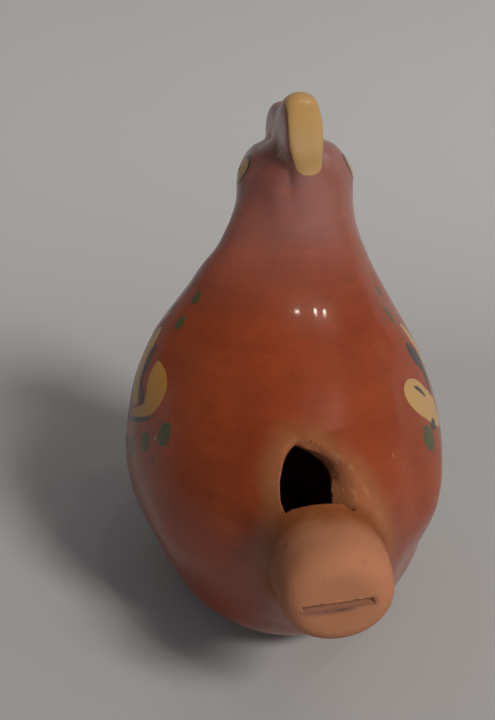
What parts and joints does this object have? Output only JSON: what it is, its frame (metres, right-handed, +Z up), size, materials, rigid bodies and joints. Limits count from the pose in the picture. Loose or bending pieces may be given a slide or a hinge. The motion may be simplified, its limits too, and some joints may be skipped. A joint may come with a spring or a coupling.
{
  "type": "bird whistle",
  "caption": "Hollow glazed clay bird whistle with a flat foot, a comb, a flat windway in the tail and an arched window in the rump.",
  "frame": {"origin": "middle of the bird's length and width, on the foot plane", "axes": "+Z up, +Y towards the beak, +X to the bird's right seen from above with the beak ahead"},
  "size_m": [0.0487, 0.0688, 0.0733],
  "materials": {
    "glazed_clay": "glossy red-brown glaze over red earthenware, bare matte clay at the mouthpiece, painted scrolls in cream, green and dark slip"
  },
  "bodies": {
    "root": {"whistle_body": "glazed_clay"}
  },
  "joints": []
}
